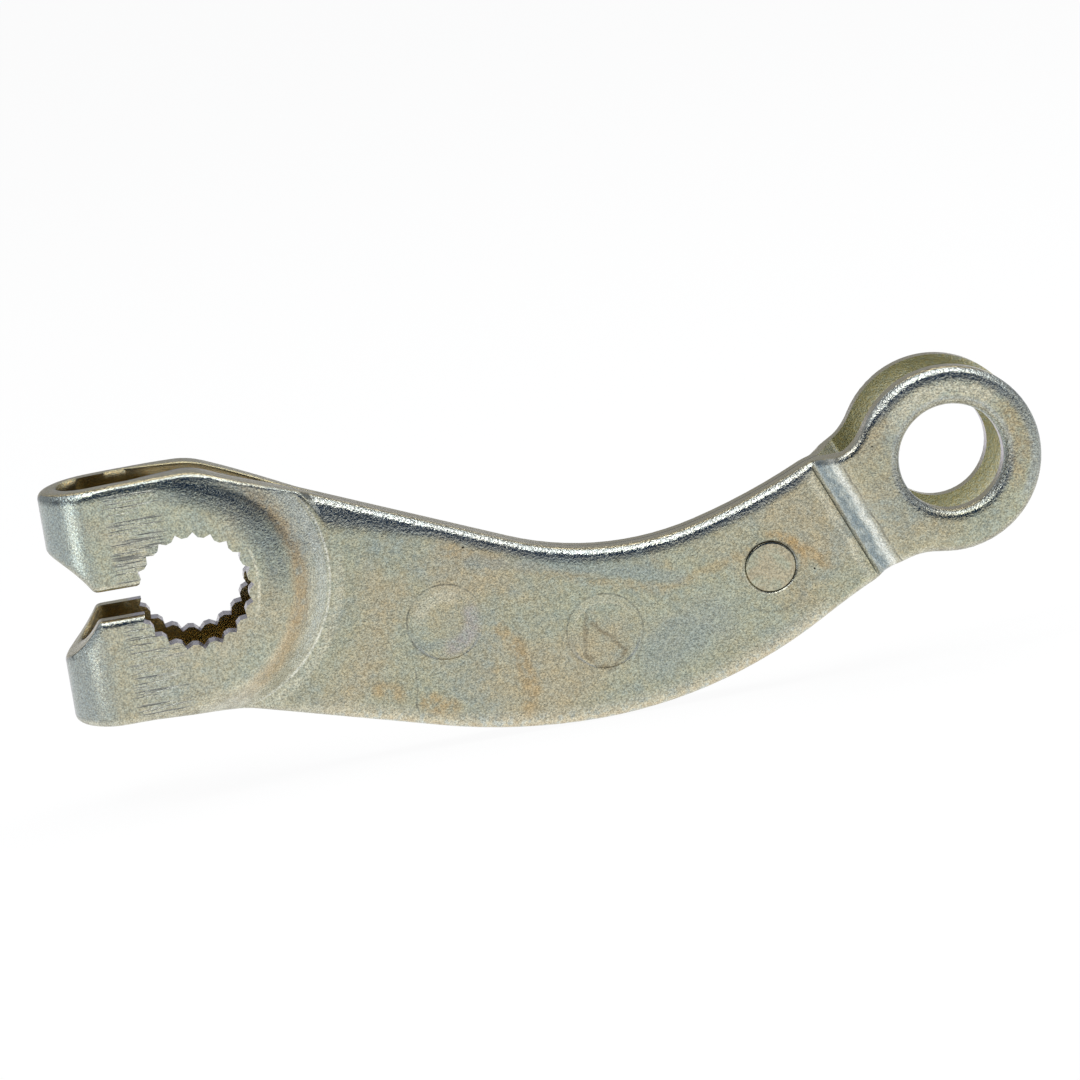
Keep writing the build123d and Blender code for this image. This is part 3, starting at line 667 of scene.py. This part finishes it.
zinc_rivet = bpy.data.materials.new("zinc_plated_rivet_steel")
zinc_rivet.use_nodes = True
tree = zinc_rivet.node_tree
tree.nodes.clear()
place = add_node(tree, "ShaderNodeTexCoord")
mm = add_node(tree, "ShaderNodeVectorMath", {0: place.outputs["Object"], "Scale": mm_per_metre},
              operation="SCALE")
cloud = add_node(tree, "ShaderNodeTexNoise", {"Vector": mm, "Scale": 1 / 3, "Detail": 4.0,
                                              "Distortion": 0.8})
tan_share = add_node(tree, "ShaderNodeMapRange", {"Value": cloud, "From Min": 0.38, "From Max": 0.60},
                     interpolation_type="SMOOTHSTEP")
film = add_node(tree, "ShaderNodeMix", {0: tan_share, 6: film_olive, 7: film_tan}, data_type="RGBA")
film, grain, _ = plating_grain(tree, mm, film, 1.42)
relief = add_node(tree, "ShaderNodeMath", {0: grain, 1: 0.024}, operation="MULTIPLY")
bump = add_node(tree, "ShaderNodeBump", {"Strength": 1.0, "Distance": 1 / mm_per_metre,
                                         "Height": relief})
shader = add_node(tree, "ShaderNodeBsdfPrincipled",
                  {"Base Color": film.outputs[2], "Metallic": 1.0, "Roughness": 0.20, "Normal": bump})
add_node(tree, "ShaderNodeOutputMaterial", {"Surface": shader})
rivet.data.materials.append(zinc_rivet)
nodes["locating_rivet"].data.materials[0] = zinc_rivet
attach(rivet, "root")
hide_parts("locating_rivet")


# Floor: a plain white paper sweep that lies level under the lever. The eye and the metal see it as
# white, and the small matt share keeps the lever's shadow.
floor_size, floor_middle, floor_z = 6.0, 0.05, cad_box[0][2]
bpy.ops.object.select_all(action="DESELECT")
bpy.ops.mesh.primitive_plane_add(size=floor_size, location=(floor_middle, 0.0, floor_z))
floor = bpy.context.object
floor.name = "white_floor"
paper = bpy.data.materials.new("white_paper_sweep")
paper.use_nodes = True
tree = paper.node_tree
tree.nodes.clear()
ray = add_node(tree, "ShaderNodeLightPath")
seen = add_node(tree, "ShaderNodeMath",
                {0: ray.outputs["Is Camera Ray"], 1: ray.outputs["Is Glossy Ray"]}, operation="MAXIMUM")
seen = add_node(tree, "ShaderNodeMath", {0: seen, 1: ray.outputs["Is Transmission Ray"]},
                operation="MAXIMUM")
share = add_node(tree, "ShaderNodeMath", {0: seen, 1: 0.95}, operation="MULTIPLY")
matt = add_node(tree, "ShaderNodeBsdfDiffuse", {"Color": linear("#F6F6F6")})
white = add_node(tree, "ShaderNodeEmission", {"Color": linear("#FFFFFF"), "Strength": 1.0})
mixed = add_node(tree, "ShaderNodeMixShader", {0: share, 1: matt, 2: white})
add_node(tree, "ShaderNodeOutputMaterial", {"Surface": mixed})
floor.data.materials.append(paper)


# Room: pale grey walls, open toward the camera, where the room beyond them is dim and bluish.
# The metal shows that opening as the dark line beside each highlight.
world = bpy.data.worlds.new("studio_room")
bpy.context.scene.world = world
world.use_nodes = True
tree = world.node_tree
tree.nodes.clear()
direction = add_node(tree, "ShaderNodeTexCoord")
reach = add_node(tree, "ShaderNodeSeparateXYZ", {"Vector": direction.outputs["Generated"]})
over_floor = add_node(tree, "ShaderNodeMapRange",
                      {"Value": reach.outputs["Z"], "From Min": 0.02, "From Max": 0.18},
                      interpolation_type="SMOOTHSTEP")
opening = add_node(tree, "ShaderNodeMapRange",
                   {"Value": reach.outputs["Y"], "From Min": 0.25, "From Max": -0.20},
                   interpolation_type="SMOOTHSTEP")
dim = add_node(tree, "ShaderNodeMath", {0: over_floor, 1: opening}, operation="MULTIPLY")
shade = add_node(tree, "ShaderNodeMix", {0: dim, 6: linear("#B4B6BA"), 7: linear("#2C405E")},
                 data_type="RGBA")
room = add_node(tree, "ShaderNodeBackground", {"Color": shade.outputs[2], "Strength": 1.0})
add_node(tree, "ShaderNodeOutputWorld", {"Surface": room})


# Lamps: a wide soft box overhead, a plain one at the right, and a small upright strip that
# stands on the floor to the left, out of the picture, for the line of light on both jaw folds.
def soft_box(name, place, aim, size, watts):
    """A rectangular soft box at place, turned to aim, size in metres."""
    lamp = bpy.data.lights.new(name, "AREA")
    lamp.shape = "RECTANGLE"
    lamp.size, lamp.size_y = size
    lamp.energy = watts
    box = bpy.data.objects.new(name, lamp)
    box.location = place
    box.rotation_euler = (Vector(aim) - Vector(place)).to_track_quat("-Z", "Y").to_euler()
    bpy.context.scene.collection.objects.link(box)
    return box


lever_middle, folds = (0.045, 0.0, -0.005), (-0.014, -0.006, 0.0)
soft_box("top_box", (0.05, -0.01, 0.60), lever_middle, (1.00, 0.30), 5.2)
soft_box("right_box", (0.75, -0.05, 0.42), lever_middle, (0.50, 0.40), 0.8)
strip = soft_box("strip_box", (-0.078, -0.062, 0.010), folds, (0.012, 0.075), 0.0110)
strip.visible_camera = False


# Camera: a long lens a little to the left of and above the lever, rolled with its tilt.
camera_data = bpy.data.cameras.new("camera")
camera_data.lens = 147.0
camera_data.sensor_width = 36.0
camera_data.clip_start = 0.05
camera = bpy.data.objects.new("camera", camera_data)
bpy.context.scene.collection.objects.link(camera)
turn, height, lean = math.radians(-7.779648), math.radians(11.572034), math.radians(8.575816)
right = Vector((math.cos(turn), math.sin(turn), 0))
up = Vector((-math.sin(turn) * math.sin(height), math.cos(turn) * math.sin(height), math.cos(height)))
back = Vector((math.sin(turn) * math.cos(height), -math.cos(turn) * math.cos(height), math.sin(height)))
stand = Vector((-0.03084541, -0.55880678, 0.11960456))
level = Matrix((right, up, back)).transposed().to_4x4()
level.translation = stand
camera.matrix_world = Matrix.Rotation(lean, 4, "Y") @ level
bpy.context.scene.camera = camera


# Colours as they are
bpy.context.scene.view_settings.view_transform = "Standard"
